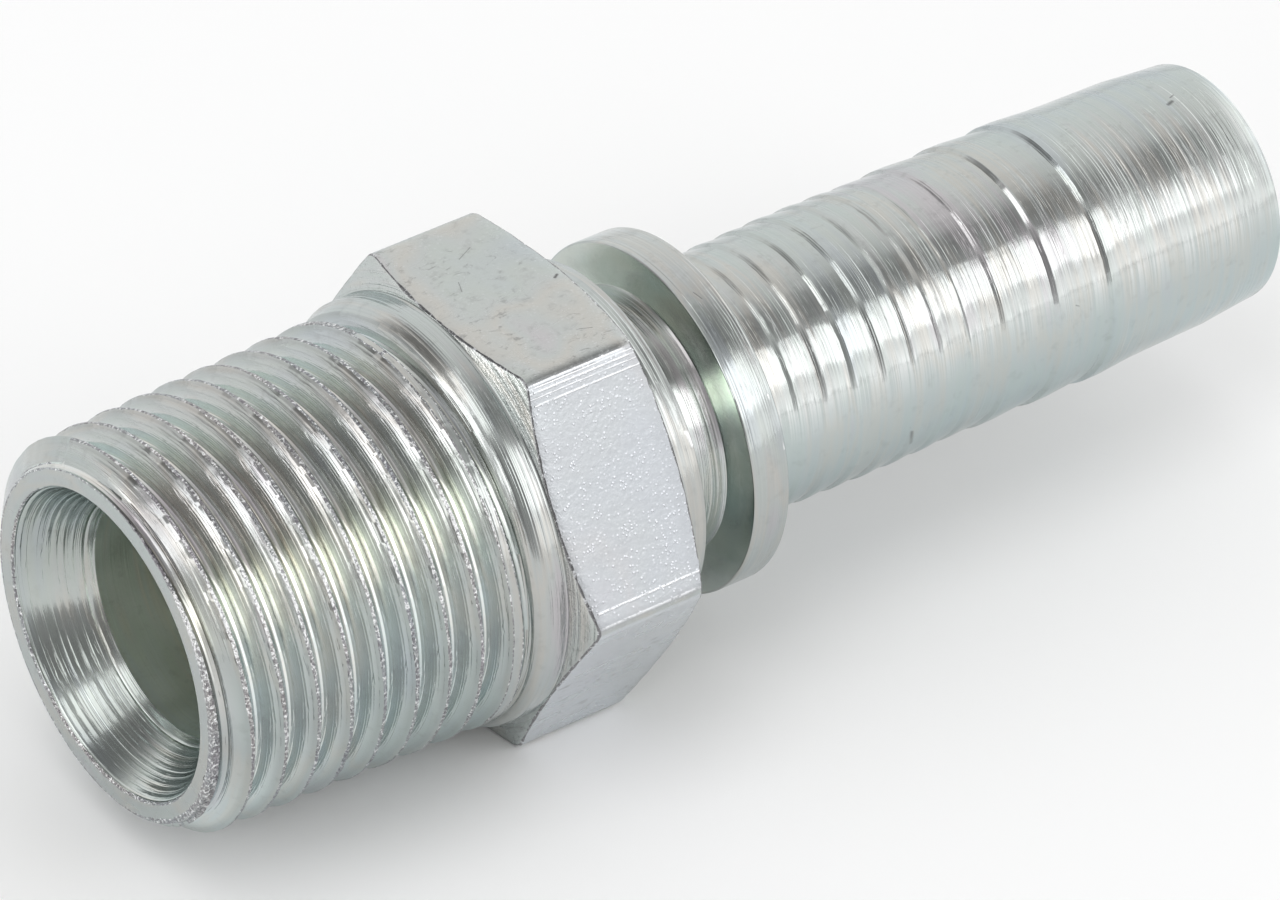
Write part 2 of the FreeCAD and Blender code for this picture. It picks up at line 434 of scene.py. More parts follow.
for x, r in ring_xr:
    if 35.4 < x < 56.5:
        k = int(np.argmin(np.abs(BARB_X + 0.2 - x)))
        sway = 0.016 * wob1(ANG + 41 * k) + 0.020 * wob2(ANG + 97 * k)
        ring = add_ring(x + calm * sway, r - 0.003 + 0.003 * calm * dent(ANG + 53 * k))
    else:
        ring = add_ring(x, r)
    if x <= 34.61:
        m = M_TURN
    elif r > 6.2 and x < LENGTH - 0.01:
        m = M_TAIL
    else:
        m = M_FACE
    if BACK_X - 0.01 < x < COLLAR_X0 + 0.01:
        m = M_SIDE if (abs(x - BACK_X) < 0.01 or abs(x - COLLAR_X0) < 0.01) else M_GROOVE
    band(prev, ring, m)
    prev = ring

# ---- bore, from the hose end back to the mouth
bore = [(60.0, TAIL_BORE), (45.0, TAIL_BORE), (32.0, TAIL_BORE), (DRILL_X, TAIL_BORE),
        (BORE_X, BORE_R), (18.0, BORE_R), (12.0, BORE_R), (8.0, BORE_R), (5.0, BORE_R),
        (SEAT_X + 0.03, BORE_R)]
for x, r in bore:
    ring = add_ring(x, r)
    band(prev, ring, M_BORE)
    prev = ring
# cone seat with its turned rings
steps = 40
ring_shift = noise_line(60, 1.0, 41)
for k in range(1, steps):
    f = k / steps
    x = SEAT_X * (1 - f)
    r = BORE_R + (MOUTH_R - BORE_R) * f
    ph = (f * 9.6 + 0.25 * float(ring_shift(f * 30))) % 1.0
    wave = ph / 0.7 if ph < 0.7 else (1 - ph) / 0.3
    d = 0.038 * (wave - 0.5)
    ring = add_ring(x - d * 0.5, r - d * 0.866)
    band(prev, ring, M_SEAT)
    prev = ring
ragged = noise_line(360, 1.6, 31)(ANG) * 0.020 + noise_line(360, 4.0, 32)(ANG) * 0.015
ragged *= 0.5 + 0.9 * np.clip(np.cos(TH - math.radians(305)), -0.3, 1)
torn = np.clip(np.cos(TH - math.radians(305)) + 0.25, 0, 1)


def mouth_band(r1, r2, plain):
    for j in range(N):
        jn = (j + 1) % N
        poly([r1[j], r1[jn], r2[jn], r2[j]], M_CREST if torn[j] > 0.05 else plain)


ring = add_ring(0.06 + 0.05 * torn, MOUTH_R - 0.045 - 0.03 * torn + 0.4 * ragged)
band(prev, ring, M_SEAT)
prev = ring
ring = add_ring(0.008 + 0.01 * torn, MOUTH_R + 0.012 + 0.8 * ragged)
mouth_band(prev, ring, M_SEAT)
prev = ring
ring = add_ring(0.0, MOUTH_R + 0.045 + 0.05 * torn + ragged)
mouth_band(prev, ring, M_FACE)
prev = ring
fr = np.array([math.hypot(verts[v][1], verts[v][2]) * 1000 for v in front])
for f in (0.25, 0.6):
    ring = add_ring(0.0, MOUTH_R + 0.12 + (fr - MOUTH_R - 0.12) * f)
    band(prev, ring, M_FACE)
    prev = ring
sandy = 0.10 + 0.05 * noise_line(360, 1.3, 61)(ANG) + 0.03 * noise_line(360, 3.7, 62)(ANG)
sandy += 0.22 * np.clip(np.cos(TH - math.radians(200)) * 2 - 1, 0, 1)
ring = add_ring(0.0, fr - sandy)
band(prev, ring, M_FACE)
prev = ring
band(prev, front, M_CREST)

mesh = bpy.data.meshes.new("fitting_body")
mesh.from_pydata(verts, [], faces)
mesh.update()
mesh.polygons.foreach_set("material_index", mats)
mesh.polygons.foreach_set("use_smooth", [True] * len(faces))
mesh.set_sharp_from_angle(angle=math.radians(28))
body = bpy.data.objects.new("fitting_body", mesh)
bpy.context.scene.collection.objects.link(body)
wn = body.modifiers.new("weighted", "WEIGHTED_NORMAL")
wn.keep_sharp = True
wn.weight = 60
tris = sum(len(f) - 2 for f in faces)
print("columns", N, "vertices", len(verts), "triangles", tris)


# --------------------------------------------------------------- materials
class Nodes:
    """Short names for building a node tree."""

    def __init__(self, name):
        self.mat = bpy.data.materials.new(name)
        self.mat.use_nodes = True
        self.t = self.mat.node_tree
        self.t.nodes.clear()
        self.out = self.t.nodes.new("ShaderNodeOutputMaterial")
        self.shader = self.t.nodes.new("ShaderNodeBsdfPrincipled")
        self.t.links.new(self.shader.outputs[0], self.out.inputs[0])
        co = self.t.nodes.new("ShaderNodeTexCoord")
        self.co = co.outputs["Object"]
        sep = self.t.nodes.new("ShaderNodeSeparateXYZ")
        self.t.links.new(self.co, sep.inputs[0])
        self.x, self.y, self.z = sep.outputs
        rr = self.math("ADD", self.math("MULTIPLY", self.y, self.y), self.math("MULTIPLY", self.z, self.z))
        self.r = self.math("SQRT", rr)

    def put(self, sock, v):
        if isinstance(v, bpy.types.NodeSocket):
            self.t.links.new(v, sock)
        else:
            sock.default_value = v

    def math(self, op, a, b=0.0, c=None, clamp=False):
        n = self.t.nodes.new("ShaderNodeMath")
        n.operation = op
        n.use_clamp = clamp
        self.put(n.inputs[0], a)
        self.put(n.inputs[1], b)
        if c is not None:
            self.put(n.inputs[2], c)
        return n.outputs[0]

    def vec(self, x, y, z):
        n = self.t.nodes.new("ShaderNodeCombineXYZ")
        for s, v in zip(n.inputs, (x, y, z)):
            self.put(s, v)
        return n.outputs[0]

    def noise(self, vector, scale=1.0, detail=2.0, rough=0.5, dist=0.0):
        n = self.t.nodes.new("ShaderNodeTexNoise")
        self.put(n.inputs["Vector"], vector)
        n.inputs["Scale"].default_value = scale
        n.inputs["Detail"].default_value = detail
        n.inputs["Roughness"].default_value = rough
        n.inputs["Distortion"].default_value = dist
        return n.outputs[0]

    def voronoi(self, vector, scale, feature="F1", rand=1.0):
        n = self.t.nodes.new("ShaderNodeTexVoronoi")
        n.feature = feature
        self.put(n.inputs["Vector"], vector)
        n.inputs["Scale"].default_value = scale
        n.inputs["Randomness"].default_value = rand
        return n.outputs["Distance"]

    def ramp(self, v, stops):
        n = self.t.nodes.new("ShaderNodeValToRGB")
        self.put(n.inputs[0], v)
        e = n.color_ramp.elements
        while len(e) > 1:
            e.remove(e[-1])
        e[0].position = stops[0][0]
        e[0].color = (*stops[0][1], 1)
        for p, c in stops[1:]:
            q = e.new(p)
            q.color = (*c, 1)
        return n.outputs[0]

    def remap(self, v, a, b, c, d):
        n = self.t.nodes.new("ShaderNodeMapRange")
        self.put(n.inputs[0], v)
        for s, w in zip(list(n.inputs)[1:5], (a, b, c, d)):
            s.default_value = w
        return n.outputs[0]

    def mix(self, f, a, b, mode="MIX"):
        n = self.t.nodes.new("ShaderNodeMix")
        n.data_type = "RGBA"
        n.blend_type = mode
        self.put(n.inputs[0], f)
        for s, v in ((n.inputs[6], a), (n.inputs[7], b)):
            if isinstance(v, tuple):
                v = (*v[:3], 1)
            self.put(s, v)
        return n.outputs[2]

    def bump(self, height, distance, normal=None, strength=1.0):
        n = self.t.nodes.new("ShaderNodeBump")
        n.inputs["Strength"].default_value = strength
        n.inputs["Distance"].default_value = distance
        self.put(n.inputs["Height"], height)
        if normal is not None:
            self.put(n.inputs["Normal"], normal)
        return n.outputs[0]

    def near(self, p, q, radius, soft=0.4):
        """1 close to the segment p-q (mm), 0 beyond radius (mm)."""
        p, q = np.array(p, float) * 0.001, np.array(q, float) * 0.001
        d = q - p
        ln = float(np.linalg.norm(d))
        sub = self.t.nodes.new("ShaderNodeVectorMath")
        sub.operation = "SUBTRACT"
        self.put(sub.inputs[0], self.co)
        sub.inputs[1].default_value = p
        off = sub.outputs[0]
        if ln > 1e-9:
            dot = self.t.nodes.new("ShaderNodeVectorMath")
            dot.operation = "DOT_PRODUCT"
            self.put(dot.inputs[0], off)
            dot.inputs[1].default_value = d / ln
            tt = self.math("MINIMUM", self.math("MAXIMUM", dot.outputs["Value"], 0.0), ln)
            sc = self.t.nodes.new("ShaderNodeVectorMath")
            sc.operation = "SCALE"
            sc.inputs[0].default_value = d / ln
            self.put(sc.inputs["Scale"], tt)
            s2 = self.t.nodes.new("ShaderNodeVectorMath")
            s2.operation = "SUBTRACT"
            self.put(s2.inputs[0], off)
            self.put(s2.inputs[1], sc.outputs[0])
            off = s2.outputs[0]
        le = self.t.nodes.new("ShaderNodeVectorMath")
        le.operation = "LENGTH"
        self.put(le.inputs[0], off)
        return self.remap(le.outputs["Value"], radius * 0.001 * (1 - soft), radius * 0.001, 1.0, 0.0)


COOL = (0.455, 0.488, 0.498)
MID = (0.475, 0.496, 0.488)
WARM = (0.502, 0.497, 0.470)
PINK = (0.492, 0.478, 0.490)
GREEN = (0.469, 0.500, 0.482)


def along(n, kind):
    """Coordinate that is constant along one turning mark."""
    if kind == "thread":
        return n.math("SUBTRACT", n.r, n.math("MULTIPLY", n.x, TAPER))
    if kind == "seat":
        return n.math("MULTIPLY", n.r, 2.0)
    return n.math("ADD", n.x, n.math("MULTIPLY", n.r, 0.83))


def tint(n, seed, kind=None):
    """Zinc passivation: slow drifts between cool, neutral, warm and pink."""
    v = n.vec(n.math("ADD", n.math("MULTIPLY", n.x, 1.4), seed * 0.37), n.y, n.z)
    f = n.noise(v, 110.0, 2.0, 0.5)
    if kind:
        w = n.vec(n.math("MULTIPLY", along(n, kind), 1500.0), n.math("MULTIPLY", n.y, 60.0),
                  n.math("MULTIPLY", n.z, 60.0))
        f = n.math("ADD", n.math("MULTIPLY", f, 0.65), n.math("MULTIPLY", n.noise(w, 1.0, 2.0, 0.5), 0.35))
    col = n.ramp(f, [(0.36, COOL), (0.45, GREEN), (0.50, MID), (0.55, WARM), (0.60, MID), (0.66, PINK)])
    # cooler towards grazing view
    lw = n.t.nodes.new("ShaderNodeLayerWeight")
    lw.inputs["Blend"].default_value = 0.5
    return n.mix(n.remap(lw.outputs["Facing"], 0.35, 0.85, 0.0, 1.0), col, n.mix(1.0, col, (0.93, 1.0, 1.02), "MULTIPLY"))


def streaks(n, kind, fine=1.0, seed=0.0):
    """Height from turning marks: parallel rings that run round the axis."""
    s = along(n, kind)
    v = n.vec(n.math("ADD", n.math("MULTIPLY", s, 1100.0), seed), n.math("MULTIPLY", n.y, 9.0), n.math("MULTIPLY", n.z, 9.0))
    h = n.math("MULTIPLY", n.noise(v, 1.0, 1.0, 0.5), 0.8)
    lines = None
    for freq, kk, amp in ((2600.0, 10.0, 0.46), (5200.0, 16.0, 0.42), (9500.0, 30.0, 0.32)):
        v = n.vec(n.math("ADD", n.math("MULTIPLY", s, freq), seed), n.math("MULTIPLY", n.y, kk), n.math("MULTIPLY", n.z, kk))
        q = n.math("MULTIPLY", n.remap(n.noise(v, 1.0, 0.0, 0.5), 0.44, 0.56, 0.0, 1.0), amp)
        lines = q if lines is None else n.math("ADD", lines, q)
    # some stretches are cut cleaner than others
    v = n.vec(n.math("ADD", n.math("MULTIPLY", s, 700.0), seed), n.math("MULTIPLY", n.y, 100.0), n.math("MULTIPLY", n.z, 100.0))
    zone = n.remap(n.noise(v, 1.0, 1.0, 0.5), 0.40, 0.62, 0.35, 1.30)
    lines = n.math("MULTIPLY", n.math("MULTIPLY", lines, zone), fine)
    # short bright dashes
    v = n.vec(n.math("MULTIPLY", s, 9000.0), n.math("MULTIPLY", n.y, 800.0), n.math("MULTIPLY", n.z, 800.0))
    dash = n.math("MULTIPLY", n.remap(n.noise(v, 1.0, 1.0, 0.5), 0.60, 0.70, 0.0, 1.0), 0.30 * fine)
    return n.math("ADD", n.math("ADD", h, lines), dash)


def finish(n, base, rough, normal, aniso=0.0):
    s = n.shader
    s.inputs["Metallic"].default_value = 1.0
    n.put(s.inputs["Base Color"], base)
    n.put(s.inputs["Roughness"], rough)
    if normal is not None:
        n.put(s.inputs["Normal"], normal)
    if aniso:
        s.inputs["Anisotropic"].default_value = aniso
        s.inputs["Anisotropic Rotation"].default_value = 0.25
        tg = n.t.nodes.new("ShaderNodeTangent")
        tg.direction_type = "RADIAL"
        tg.axis = "X"
        n.put(s.inputs["Tangent"], tg.outputs[0])
    mesh.materials.append(n.mat)
    return n.mat


def soiled(n, base, amount, scale=1400.0):
    """Faint darker specks."""
    sp = n.noise(n.co, scale, 3.0, 0.65)
    return n.mix(n.remap(sp, 0.56, 0.72, 0.0, amount), base, (0.27, 0.275, 0.27))


def on_turned(x, r, angle):
    """Point on a turned surface; the angle counts from the top of the photo's outline."""
    a = math.radians(angle + 46.68)
    return (x, r * math.cos(a), r * math.sin(a))


def around(n):
    """Angle round the axis as 0..1; 0.5 lies at the front of the object."""
    c, q = math.cos(math.radians(137.0)), math.sin(math.radians(137.0))
    cc = n.math("ADD", n.math("MULTIPLY", n.y, c), n.math("MULTIPLY", n.z, q))
    ss = n.math("SUBTRACT", n.math("MULTIPLY", n.z, c), n.math("MULTIPLY", n.y, q))
    return n.remap(n.math("ARCTAN2", ss, cc), -math.pi, math.pi, 0.0, 1.0)


def paint_light_by_angle(n, stops):
    """Painted light and shade: colour factors that change round the axis; stops are (angle, colour)."""
    return n.ramp(around(n), [((a - 90.32) / 360.0 + 0.5, c) for a, c in stops])


def scored(n, kind, seed):
    """Fine dark turning lines, 0..1."""
    s = along(n, kind)
    out = None
    slow = 0.58 if kind == "thread" else 1.0
    for freq, kk, lo, hi, w in ((4300.0 * slow, 12.0, 0.50, 0.60, 0.7), (9800.0 * slow, 24.0, 0.48, 0.57, 1.0)):
        v = n.vec(n.math("ADD", n.math("MULTIPLY", s, freq), seed), n.math("MULTIPLY", n.y, kk), n.math("MULTIPLY", n.z, kk))
        q = n.remap(n.noise(v, 1.0, 0.0, 0.5), lo, hi, 0.0, w)
        out = q if out is None else n.math("MAXIMUM", out, q)
    v = n.vec(n.math("ADD", n.math("MULTIPLY", s, 650.0), seed), n.math("MULTIPLY", n.y, 110.0), n.math("MULTIPLY", n.z, 110.0))
    return n.math("MULTIPLY", out, n.remap(n.noise(v, 1.0, 1.0, 0.5), 0.36, 0.56, 0.35, 1.0))


def marked(n, h, base, marks):
    """Small scratches and chips: (p, q, radius, depth, colour, weight)."""
    for p_, q_, rad, depth, col, w in marks:
        m = n.near(p_, q_, rad, 0.8)
        h = n.math("ADD", h, n.math("MULTIPLY", m, depth))
        base = n.mix(n.math("MULTIPLY", m, w), base, col)
    return h, base


def turned_material(name, kind, dist, rough, seed, fine=1.0, aniso=0.0, grain=0.0, gain=1.0, marks=(), cast=(1.0, 1.0, 1.0),
                    painted_light_tones=None, turning_lines_and_painted_light=None, painted_valley_light_and_shade=None, painted_highlight_lines=None):
    n = Nodes(name)
    h = streaks(n, kind, fine, 3.7 * seed)
    if grain:
        h = n.math("ADD", h, n.math("MULTIPLY", n.noise(n.co, 5500.0, 2.0, 0.6), grain))
    base = soiled(n, tint(n, seed, kind), 0.22)
    base = n.mix(1.0, base, tuple(gain * c for c in cast), "MULTIPLY")
    # painted light and shade: the colour is multiplied by factors set by angle round the axis
    if painted_light_tones:
        base = n.mix(1.0, base, paint_light_by_angle(n, painted_light_tones), "MULTIPLY")
    # painted light and shade in the valleys of the thread: the colour there is doubled and then scaled by angle round
    # the axis
    if painted_valley_light_and_shade:
        d = n.remap(along(n, kind), 0.00915, 0.00985, 1.0, 0.0)
        base = n.mix(d, base, n.mix(1.0, n.mix(1.0, base, (2.0, 2.0, 2.0), "MULTIPLY"), paint_light_by_angle(n, painted_valley_light_and_shade), "MULTIPLY"))
        # painted shade: the first turn at the mouth is darkened from about 40 degrees round the axis onwards
        first = n.remap(n.x, 0.0008, 0.0013, 0.62, 1.0)
        dull_finish_and_painted_shade = paint_light_by_angle(n, ((38, (0.0, 0.0, 0.0)), (60, (1.0, 1.0, 1.0))))
        base = n.mix(n.math("MULTIPLY", n.math("SUBTRACT", 1.0, first), dull_finish_and_painted_shade), base, (0.10, 0.098, 0.10))
    # fine dark turning lines: the marks are real, and their strength is painted by angle round the axis, strongest
    # where the highlight falls
    if turning_lines_and_painted_light:
        amount, stops = turning_lines_and_painted_light
        line = n.math("MULTIPLY", scored(n, kind, 5.1 * seed), amount)
        line = n.math("MULTIPLY", line, paint_light_by_angle(n, [(a, (v, v, v)) for a, v in stops]))
        base = n.mix(line, base, (0.15, 0.15, 0.155))
    # painted highlight: light turning lines mixed into the colour, set by angle round the axis
    if painted_highlight_lines:
        amount, stops = painted_highlight_lines
        line = n.math("MULTIPLY", scored(n, kind, 9.3 * seed), amount)
        line = n.math("MULTIPLY", line, paint_light_by_angle(n, [(a, (v, v, v)) for a, v in stops]))
        base = n.mix(line, base, (0.98, 0.98, 0.98))
    h, base = marked(n, h, base, marks)
    rg = n.remap(n.noise(n.co, 500.0, 2.0, 0.5), 0.3, 0.7, rough * 0.85, rough * 1.15)
    finish(n, base, rg, n.bump(h, dist), aniso)


DARK, LIGHT = (0.13, 0.13, 0.13), (0.85, 0.86, 0.86)
# the order follows M_TURN ... M_EDGE
# turned surfaces: turning lines painted strongest in the highlight band
turned_material("turned", "turn", 1.25e-5, 0.15, 1, 1.0, 0.0, 0.06, turning_lines_and_painted_light=(
    0.50, ((62, 0.15), (81, 0.20), (84, 0.9), (101, 1.0), (105, 0.4), (118, 0.15))), marks=(
    (on_turned(28.02, 9.36, 99.0), on_turned(28.10, 9.34, 103.0), 0.16, 0.8, LIGHT, 0.8),
    (on_turned(33.02, 9.14, 98.0), on_turned(33.18, 9.14, 116.0), 0.06, 1.4, LIGHT, 0.8),
    (on_turned(32.10, 9.14, 60.0), on_turned(32.25, 9.14, 63.0), 0.05, -0.4, DARK, 0.6),
))
# thread flanks: the colour carries painted light and shade, set by angle round the axis and deeper in the valleys
turned_material("thread_flanks", "thread", 1.8e-5, 0.16, 2, 1.1, 0.0, 0.06, 1.45, painted_light_tones=(
    (25, (0.92, 0.95, 0.92)), (45, (0.90, 0.93, 0.89)), (60, (0.86, 0.84, 0.81)), (76, (0.97, 0.94, 0.91)), (84, (0.86, 0.85, 0.81)),
    (92, (0.84, 0.84, 0.80)), (101, (0.80, 0.80, 0.77)), (106, (0.80, 0.81, 0.80)), (120, (0.77, 0.79, 0.79)),
    (136, (0.70, 0.72, 0.725)), (158, (0.71, 0.735, 0.74))),
    painted_valley_light_and_shade=((30, (0.52, 0.52, 0.52)), (48, (0.48, 0.47, 0.47)), (60, (0.40, 0.39, 0.39)), (74, (0.44, 0.43, 0.43)),
          (84, (0.55, 0.54, 0.53)), (92, (0.57, 0.56, 0.54)), (100, (0.57, 0.56, 0.55)), (106, (0.44, 0.44, 0.44)),
          (120, (0.43, 0.43, 0.44)), (136, (0.43, 0.43, 0.44)), (158, (0.51, 0.51, 0.52))),
    turning_lines_and_painted_light=(0.45, ((54, 0.3), (84, 0.6), (102, 0.8), (108, 0.3))))

n = Nodes("thread_crest")
rip = n.noise(n.co, 6000.0, 2.0, 0.6)
tear = n.noise(n.vec(n.math("MULTIPLY", n.x, 2.0), n.y, n.z), 9500.0, 2.0, 0.6)
h = n.math("ADD", n.remap(rip, 0.34, 0.66, 0.0, 1.2), n.math("MULTIPLY", tear, 0.8))
base = n.mix(1.0, tint(n, 3), (0.80, 0.785, 0.815), "MULTIPLY")
# torn crest specks, with painted light and shade: lighter at 86 to 106 degrees round the axis, darker at 58 to 76
crest_painted_light = paint_light_by_angle(n, [(a, (v, v, v)) for a, v in ((50, -0.01), (58, -0.08), (76, -0.07), (82, 0.02), (86, 0.11), (92, 0.15), (100, 0.145), (106, 0.085), (118, 0.0), (135, -0.03))])
wear_and_painted_light = n.math("ADD", rip, crest_painted_light)
base = n.mix(n.remap(wear_and_painted_light, 0.38, 0.50, 0.80, 0.0), base, (0.20, 0.185, 0.205))
# painted shade: the crest is darker at 57 to 76 degrees round the axis
crest_painted_shade = paint_light_by_angle(n, [(a, (v, v, v)) for a, v in ((50, 1.0), (57, 0.74), (76, 0.77), (83, 1.0))])
base = n.mix(n.remap(wear_and_painted_light, 0.54, 0.63, 0.0, 0.85), base, (0.92, 0.92, 0.93))
base = n.mix(1.0, base, crest_painted_shade, "MULTIPLY")
finish(n, base, n.remap(tear, 0.3, 0.7, 0.13, 0.26), n.bump(h, 4.4e-5))


def flat_point(angle, x, t):
    """Point on a hexagon flat: t runs across the flat, away from +Z."""
    a = math.radians(angle)
    return (x, HEX_R * math.cos(a) - t * math.sin(a), HEX_R * math.sin(a) + t * math.cos(a))


def on_flat(n, angle):
    """1 on one flat of the hexagon, 0 on the others."""
    a = math.radians(angle)
    d = n.math("ADD", n.math("MULTIPLY", n.y, math.cos(a)), n.math("MULTIPLY", n.z, math.sin(a)))
    return n.remap(d, 0.01090, 0.01098, 0.0, 1.0)


n = Nodes("hex_flats")
cell = n.noise(n.co, 4200.0, 3.0, 0.62)
broad = n.noise(n.vec(n.math("MULTIPLY", n.x, 0.5), n.y, n.z), 700.0, 2.0, 0.5)
front_flat = on_flat(n, 150.0)
bead = n.remap(n.voronoi(n.co, 4500.0), 0.12, 0.34, 1.0, 0.0)
few = n.remap(n.noise(n.co, 1500.0, 1.0, 0.5), 0.40, 0.58, 0.15, 1.0)
bead = n.math("MULTIPLY", n.math("MULTIPLY", bead, few), n.remap(front_flat, 0.0, 1.0, 0.35, 1.0))
h = n.math("ADD", n.math("MULTIPLY", cell, 0.7), n.math("MULTIPLY", broad, 0.5))
h = n.math("ADD", h, n.math("MULTIPLY", bead, 0.55))
base = soiled(n, tint(n, 5), 0.34, 1100.0)
# painted light and shade: each flat gets its own tone, the front flat darker and bluer, the top flat lighter, the lower
# flat much lighter and bluer
base = n.mix(n.math("MULTIPLY", front_flat, 0.75), base, (0.382, 0.394, 0.420))
base = n.mix(n.math("MULTIPLY", on_flat(n, 90.0), 1.0), base, n.mix(1.0, base, (1.06, 1.05, 1.04), "MULTIPLY"))
base = n.mix(n.math("MULTIPLY", on_flat(n, 210.0), 0.80), base, (0.650, 0.678, 0.712))
# fine dark mottles and scratches, mainly on the flat that faces up
mot = n.noise(n.vec(n.math("MULTIPLY", n.x, 0.6), n.y, n.z), 2600.0, 3.0, 0.7, 0.6)
mot = n.math("MULTIPLY", n.remap(mot, 0.56, 0.68, 0.0, 0.55), n.remap(front_flat, 0.0, 1.0, 1.0, 0.25))
patch = n.remap(n.noise(n.co, 420.0, 2.0, 0.5), 0.42, 0.62, 0.25, 1.0)
base = n.mix(n.math("MULTIPLY", mot, patch), base, (0.22, 0.22, 0.215))
# the beads are bumps; their lighter colour is a painted glint
base = n.mix(n.math("MULTIPLY", bead, 0.45), base, (0.82, 0.83, 0.88))
# drawn lines of the bar beside the edges of the front flat: raised in the bump, with a painted highlight in their light
# colour
for t, x0, x1, width, push in ((-6.12, 19.3, 25.8, 0.10, 0.8), (-5.93, 19.3, 25.8, 0.07, 0.7), (-5.70, 19.3, 25.8, 0.07, 0.8),
                               (-5.45, 19.3, 25.8, 0.05, 0.7), (-5.10, 19.6, 25.8, 0.07, 0.9),
                               (5.30, 19.7, 25.7, 0.08, 0.9), (6.05, 19.7, 25.7, 0.10, 0.5)):
    line = n.near(flat_point(150.0, x0, t), flat_point(150.0, x1, t), width, 0.9)
    gate = n.remap(n.noise(n.co, 2600.0 + 300 * t, 2.0, 0.6), 0.38, 0.52, 0.20, 1.0)
    line = n.math("MULTIPLY", line, gate)
    h = n.math("ADD", h, n.math("MULTIPLY", line, push))
    base = n.mix(n.math("MULTIPLY", line, 0.80), base, (0.90, 0.91, 0.93))
# dark hair line along the edge between the upper two flats
for x0, x1 in ((19.4, 25.7),):
    line = n.near((x0, -6.36, 10.96), (x1, -6.36, 10.96), 0.13, 0.7)
    line = n.math("MULTIPLY", line, n.remap(n.noise(n.co, 3100.0, 2.0, 0.6), 0.36, 0.52, 0.35, 1.0))
    base = n.mix(n.math("MULTIPLY", line, 0.75), base, (0.17, 0.17, 0.175))
h, base = marked(n, h, base, (
    ((25.50, -0.36, 11.0), (25.72, -0.22, 11.0), 0.11, -0.4, DARK, 0.95),
    ((25.9, -11.95, 1.30), (26.0, -12.1, 1.05), 0.12, -0.4, DARK, 0.95),
    ((22.6, 3.4, 11.0), (23.6, 3.9, 11.0), 0.035, -0.3, DARK, 0.6),
    ((21.2, 1.2, 11.0), (21.5, 1.9, 11.0), 0.04, -0.3, DARK, 0.6),
    ((23.9, -4.3, 11.0), (24.6, -4.6, 11.0), 0.035, -0.3, DARK, 0.6)))
finish(n, base, n.remap(broad, 0.3, 0.7, 0.22, 0.30), n.bump(h, 2.2e-5))

n = Nodes("hex_chamfer")
cell = n.noise(n.co, 5200.0, 3.0, 0.65)
h = n.math("ADD", streaks(n, "turn", 1.0, 20.0), n.math("MULTIPLY", cell, 1.1))
base = n.mix(1.0, soiled(n, tint(n, 6, "turn"), 0.5, 2600.0), (1.14, 1.13, 1.13), "MULTIPLY")
finish(n, base, n.remap(cell, 0.3, 0.7, 0.18, 0.30), n.bump(h, 2.6e-5))

# painted light: the bore's colour is raised 1.92 times so that the inside of the bore reads light
turned_material("bore", "turn", 0.7e-5, 0.36, 7, 0.5, 0.0, 0.6, 1.92, cast=(1.0, 1.0, 0.95))
# painted light and shade: the seat's colour is set lighter and darker by angle round the axis
turned_material("cone_seat", "seat", 1.7e-5, 0.17, 8, 0.8, 0.0, 0.05, 1.10, cast=(0.99, 1.0, 0.985), painted_light_tones=tuple(
    (a, (v, v, v)) for a, v in ((-84, 0.66), (-76, 0.78), (-66, 0.94), (-56, 0.94), (-46, 0.94), (-30, 1.0),
                                (172, 1.05), (188, 1.15), (200, 1.12), (214, 0.98), (230, 0.84), (243, 0.62), (252, 0.76), (260, 0.93), (268, 0.66))))
turned_material("faces", "turn", 1.2e-5, 0.26, 9, 0.5, 0.0, 0.30)
# painted light and shade by angle round the axis, with painted highlight lines at 104 to 129 degrees
turned_material("tail", "turn", 0.95e-5, 0.14, 10, 1.0, 0.0, 0.05, 1.04, painted_light_tones=(
    (12, (0.87, 0.87, 0.87)), (25, (0.90, 0.91, 0.90)), (38, (0.98, 0.98, 0.97)), (60, (1.02, 1.02, 1.01)),
    (84, (1.02, 1.02, 1.02)), (107, (1.0, 1.0, 1.0)), (110, (1.0, 1.01, 1.01)), (114, (1.10, 1.13, 1.13)),
    (120, (1.03, 1.08, 1.09)), (132, (0.99, 1.05, 1.07)), (150, (0.96, 1.02, 1.04)), (175, (0.98, 1.0, 1.01))),
    painted_highlight_lines=(0.36, ((58, 0.0), (64, 0.20), (78, 0.20), (82, 0.0), (104, 0.0), (109, 0.45), (113, 1.0), (118, 0.6), (129, 0.0))), turning_lines_and_painted_light=(
    0.45, ((62, 0.08), (81, 0.10), (84, 0.8), (101, 1.0), (105, 0.30), (114, 0.0))), marks=(
    (on_turned(63.10, 6.59, 50.5), on_turned(63.45, 6.56, 49.5), 0.14, -0.3, DARK, 0.8),
    (on_turned(63.55, 6.56, 47.0), on_turned(63.85, 6.53, 46.0), 0.07, -0.3, DARK, 0.6),
    (on_turned(57.25, 6.80, 42.5), on_turned(57.45, 6.80, 42.0), 0.05, -0.3, DARK, 0.6),
    (on_turned(43.26, 6.70, 114.0), on_turned(43.85, 6.68, 116.5), 0.05, 1.0, LIGHT, 0.5),
    (on_turned(42.85, 6.80, 148.0), on_turned(43.05, 6.80, 156.0), 0.13, -0.3, DARK, 0.6),
    (on_turned(48.42, 6.84, 64.5), on_turned(48.50, 6.84, 66.5), 0.12, 1.3, LIGHT, 0.8),
    (on_turned(52.9, 6.84, 118.0), on_turned(53.1, 6.84, 119.0), 0.05, -0.3, DARK, 0.6),
))

